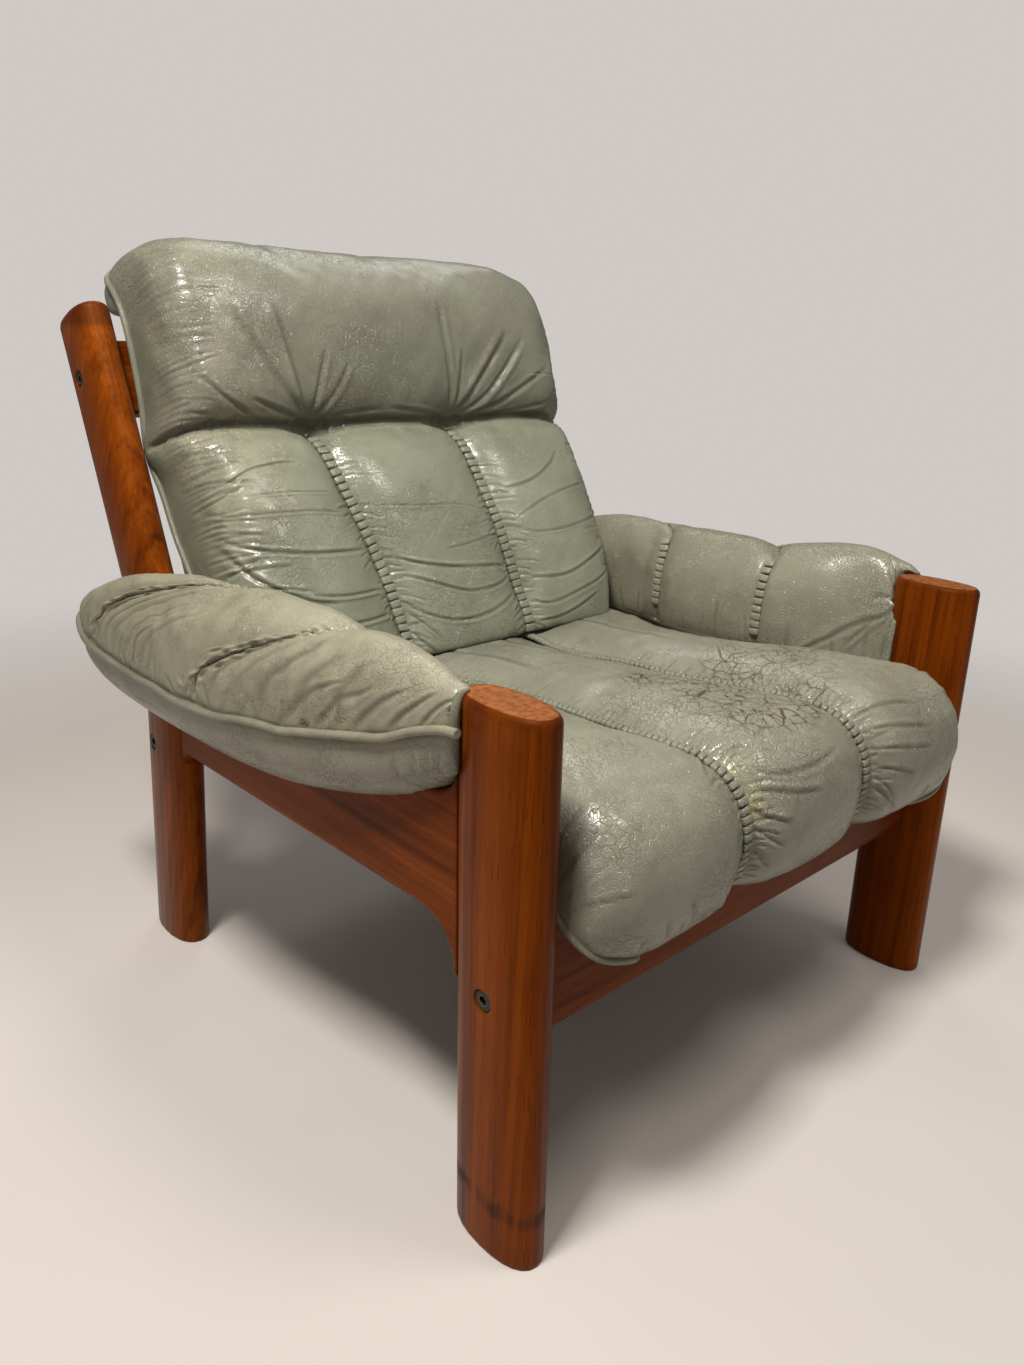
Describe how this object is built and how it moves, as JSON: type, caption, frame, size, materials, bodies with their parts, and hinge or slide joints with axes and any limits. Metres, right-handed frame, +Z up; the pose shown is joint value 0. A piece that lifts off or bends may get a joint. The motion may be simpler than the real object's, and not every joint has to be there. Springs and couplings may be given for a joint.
{
  "type": "lounge chair",
  "caption": "Low teak armchair with a raked bent-post back, loose channelled leather seat and back cushions and saddle-shaped leather arm pads, worn from use.",
  "frame": {"origin": "on the floor under the middle of the chair's bounding box", "axes": "+Z up, the front faces -Y, +X to the right as seen from the front"},
  "size_m": [0.876, 0.9592, 0.9175],
  "materials": {
    "teak": "oiled, worn at the edges",
    "shaded_teak": "oiled, darker",
    "black_steel": "blackened socket bolts",
    "zinc_steel": "zinc plated",
    "webbing": "woven elastic webbing",
    "leather": "sage green, semi-gloss, creased and cracked"
  },
  "bodies": {
    "root": {"left_front_bolt": "black_steel", "left_front_nut": "zinc_steel", "right_front_bolt": "black_steel", "right_front_nut": "zinc_steel", "front_stretcher": "teak", "left_rear_bolt": "black_steel", "left_rear_nut": "zinc_steel", "right_rear_bolt": "black_steel", "right_rear_nut": "zinc_steel", "rear_stretcher": "teak", "left_post_bolt": "black_steel", "left_post_nut": "zinc_steel", "right_post_bolt": "black_steel", "right_post_nut": "zinc_steel", "upper_back_rail": "shaded_teak", "left_front_leg": "teak", "right_front_leg": "teak", "left_rear_leg_and_post": "teak", "right_rear_leg_and_post": "teak", "seat_strap_1": "webbing", "seat_strap_2": "webbing", "seat_strap_3": "webbing", "seat_strap_4": "webbing", "seat_strap_5": "webbing", "left_side_rail": "teak", "right_side_rail": "teak", "back_strap_1": "webbing", "back_strap_2": "webbing", "back_strap_3": "webbing", "back_strap_4": "webbing", "seat_cushion": "leather", "back_cushion": "leather", "left_arm_pad": "leather", "right_arm_pad": "leather"}
  },
  "joints": []
}
